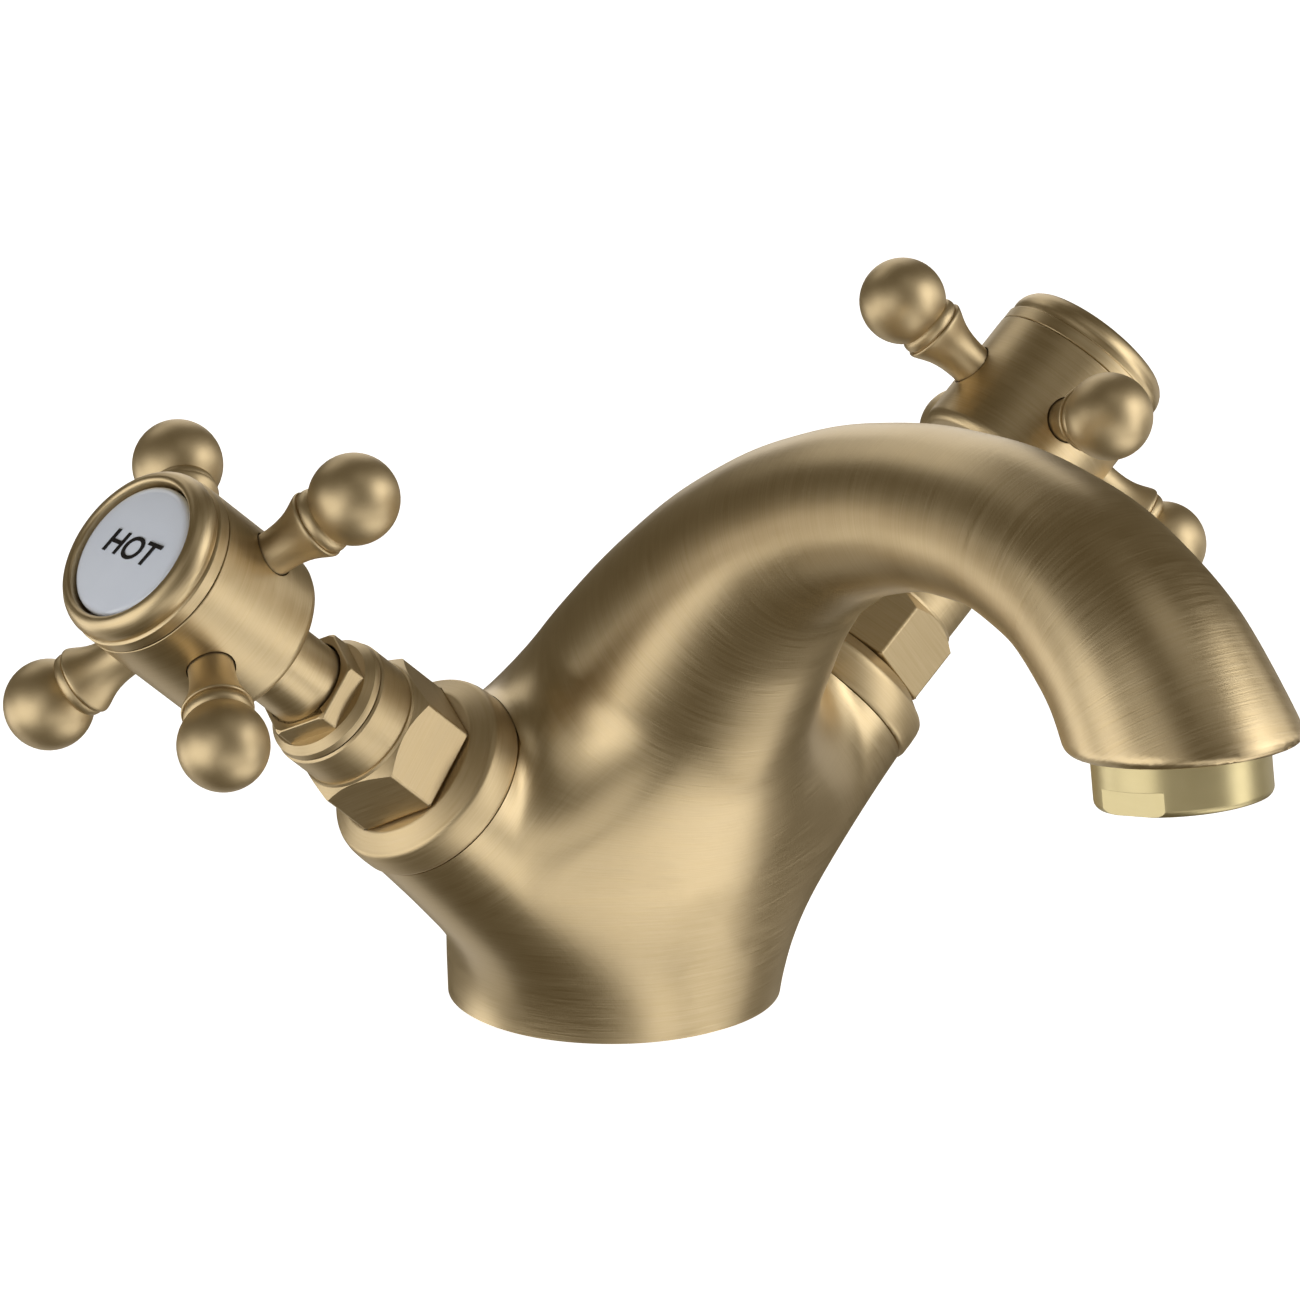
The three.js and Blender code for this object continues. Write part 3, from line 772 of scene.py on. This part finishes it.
bezel = turn("bezel_cap", [
    (10.7, 106.2), (10.7, 109.6), (13.2, 109.6), (13.35, 109.75), (13.35, 111.45), (13.2, 111.65),
    (12.95, 111.75), (12.95, 112.0), (13.12, 112.4), (13.18, 112.8), (13.15, 113.3), (13.0, 113.9),
    (12.72, 114.5), (12.3, 115.05), (11.85, 115.4), (11.45, 115.55), (11.1, 115.5), (10.85, 115.3),
    (10.7, 115.0), (10.7, 111.2), (8.6, 111.2), (8.6, 106.2), (10.7, 106.2),
], 160)
smooth(bezel, 34)
set_on_arms(bezel, "bezel_ring", handle_bodies, turned_brass)

# ---------------------------------------------------------------------------------------------
# Index buttons: white glazed porcelain discs, a little domed, bedded in the bezels, with the plain
# words HOT and COLD fired on in black. Disc and lettering turn with the handle.
# ---------------------------------------------------------------------------------------------

button = turn("porcelain_disc", [
    (0, 111.5), (9.9, 111.5), (10.2, 111.65), (10.3, 111.9), (10.3, 114.1), (10.22, 114.45), (10.0, 114.75),
    (9.6, 114.95), (9.0, 115.05), (7.5, 115.13), (5, 115.22), (2.5, 115.27), (0, 115.28),
], 128)
smooth(button, 34)
glazed_porcelain, shader, place = new_finish("glazed_porcelain")
milk = noise(place, place, 130.0, 2.0)
feed(shader, "Base Color", blend_colours(place, milk, (0.70, 0.76, 0.88, 1), (0.78, 0.835, 0.94, 1)))
feed(shader, "Roughness", milk * 0.05 + 0.09)
feed(shader, "Coat Weight", 0.6)
emboss(shader, milk, 0.04, 0.3)
set_on_arms(button, "index_button", handle_bodies, glazed_porcelain)

fired_black, shader, place = new_finish("fired_black")
wash = noise(place, place, 1200.0, 2.0)
feed(shader, "Base Color", blend_colours(place, wash, (0.006, 0.006, 0.008, 1), (0.016, 0.016, 0.019, 1)))
feed(shader, "Roughness", wash * 0.1 + 0.16)
for prefix, side in ARMS.items():
    bpy.ops.object.select_all(action="DESELECT")
    bpy.ops.object.text_add()
    word = bpy.context.object
    word.data.body = prefix.upper()
    word.data.align_x = "CENTER"
    word.data.align_y = "CENTER"
    word.data.size = (5.2 if prefix == "hot" else 4.4) * MM
    word.data.shear = 0.25
    word.data.offset = 0.05 * MM
    word.data.extrude = 0.12 * MM
    word.data.bevel_depth = 0.03 * MM
    word.name = f"{prefix}_word"
    bpy.ops.object.convert(target="MESH")
    stand = Matrix.Translation((0, 0, 115.22 * MM)) @ Matrix.Rotation(side * math.pi / 2, 4, "Z")
    settle_place(word, arm_place(side) @ stand)
    dress(word, fired_black)
    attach(word, handle_bodies[prefix])

# ---------------------------------------------------------------------------------------------
# Stage: a plain pale floor and, far behind it, a backdrop of the same paint, which only the camera
# sees. The light is a faint warm surround and soft boxes of plain white light; those below deck
# level stand for what a pale table sends back.
# ---------------------------------------------------------------------------------------------

bpy.ops.object.select_all(action="DESELECT")
bpy.ops.mesh.primitive_plane_add(size=12, location=(0, 0, -0.0002))
floor = bpy.context.object
floor.name = "pale_floor"
pale_floor, shader, place = new_finish("pale_floor")
feed(shader, "Base Color", (0.86, 0.86, 0.86, 1))
feed(shader, "Roughness", 0.9)
feed(shader, "Emission Color", (1, 1, 1, 1))
feed(shader, "Emission Strength", 0.93)
bpy.ops.object.select_all(action="DESELECT")
bpy.ops.mesh.primitive_uv_sphere_add(segments=64, ring_count=32, radius=5.5)
backdrop = bpy.context.object
backdrop.name = "pale_backdrop"
for stage in (floor, backdrop):
    dress(stage, pale_floor)
    stage.visible_glossy = False
    stage.visible_shadow = False
backdrop.visible_diffuse = False

world = bpy.data.worlds.new("pale_surround")
bpy.context.scene.world = world
world.use_nodes = True
world.node_tree.nodes["Background"].inputs["Color"].default_value = (1, 0.81, 0.48, 1)
world.node_tree.nodes["Background"].inputs["Strength"].default_value = 0.11

MIDDLE = Vector((0, -0.045, 0.06))
LAMP_DISTANCE = 0.9


def bearing(azimuth, height):
    """A direction seen from the mixer, in degrees: azimuth 0 is in front of the spout."""
    turned = math.radians(azimuth)
    raised = math.radians(height)
    flat = math.cos(raised)
    return Vector((math.sin(turned) * flat, -math.cos(turned) * flat, math.sin(raised)))


def soft_box(name, azimuth, height, wide, tall, power):
    """A plain white area lamp that looks at the middle of the mixer."""
    lamp = bpy.data.lights.new(name, "AREA")
    lamp.shape = "RECTANGLE"
    lamp.size = wide
    lamp.size_y = tall
    lamp.energy = power
    box = bpy.data.objects.new(name, lamp)
    bpy.context.collection.objects.link(box)
    away = bearing(azimuth, height)
    box.location = MIDDLE + away * LAMP_DISTANCE
    box.rotation_euler = away.to_track_quat("Z", "Y").to_euler()


soft_box("hot_side_box", 264, -6, 1.0, 0.75, 3.9)
soft_box("hot_rear_box", 216, -20, 0.42, 0.42, 1.0)
soft_box("hot_upper_box", 294, 20, 0.5, 0.7, 0.7)
soft_box("cold_front_strip", 34, 8, 0.42, 1.25, 3.9)
soft_box("cold_upper_box", 52, 28, 0.42, 0.42, 0.9)
soft_box("cold_side_box", 72, 12, 0.5, 0.45, 0.8)
soft_box("cold_bounce", 100, -14, 0.6, 0.42, 0.35)
soft_box("front_bounce", 342, -20, 0.95, 0.42, 1.25)
soft_box("deck_bounce", 30, -50, 1.0, 0.42, 2.2)
soft_box("rear_bounce", 180, -50, 1.1, 0.42, 0.75)
soft_box("rear_box", 147, 21, 0.42, 0.8, 1.15)
soft_box("rear_top_box", 180, 38, 0.42, 0.42, 0.5)
soft_box("top_box", 0, 66, 0.45, 0.45, 0.25)

# ---------------------------------------------------------------------------------------------
# Camera: a long lens a little above the deck, to the hot side of the spout. It stands off its line
# of sight a little, so that the mixer sits in the frame with even margins.
# ---------------------------------------------------------------------------------------------

CAMERA_DISTANCE = 1.23091
CAMERA_ASIDE = 0.00542
CAMERA_ABOVE = 0.04979

lens = bpy.data.cameras.new("long_lens")
lens.lens = 230.24
lens.sensor_width = 36
lens.clip_start = 0.1
lens.clip_end = 30
camera = bpy.data.objects.new("long_lens", lens)
bpy.context.collection.objects.link(camera)
back = bearing(-37.07, 17.55)
right = Vector((0, 0, 1)).cross(back).normalized()
up = back.cross(right)
camera.location = back * CAMERA_DISTANCE + right * CAMERA_ASIDE + up * CAMERA_ABOVE
camera.rotation_euler = Matrix((right, up, back)).transposed().to_euler()
bpy.context.scene.camera = camera
bpy.context.scene.view_settings.view_transform = "Standard"
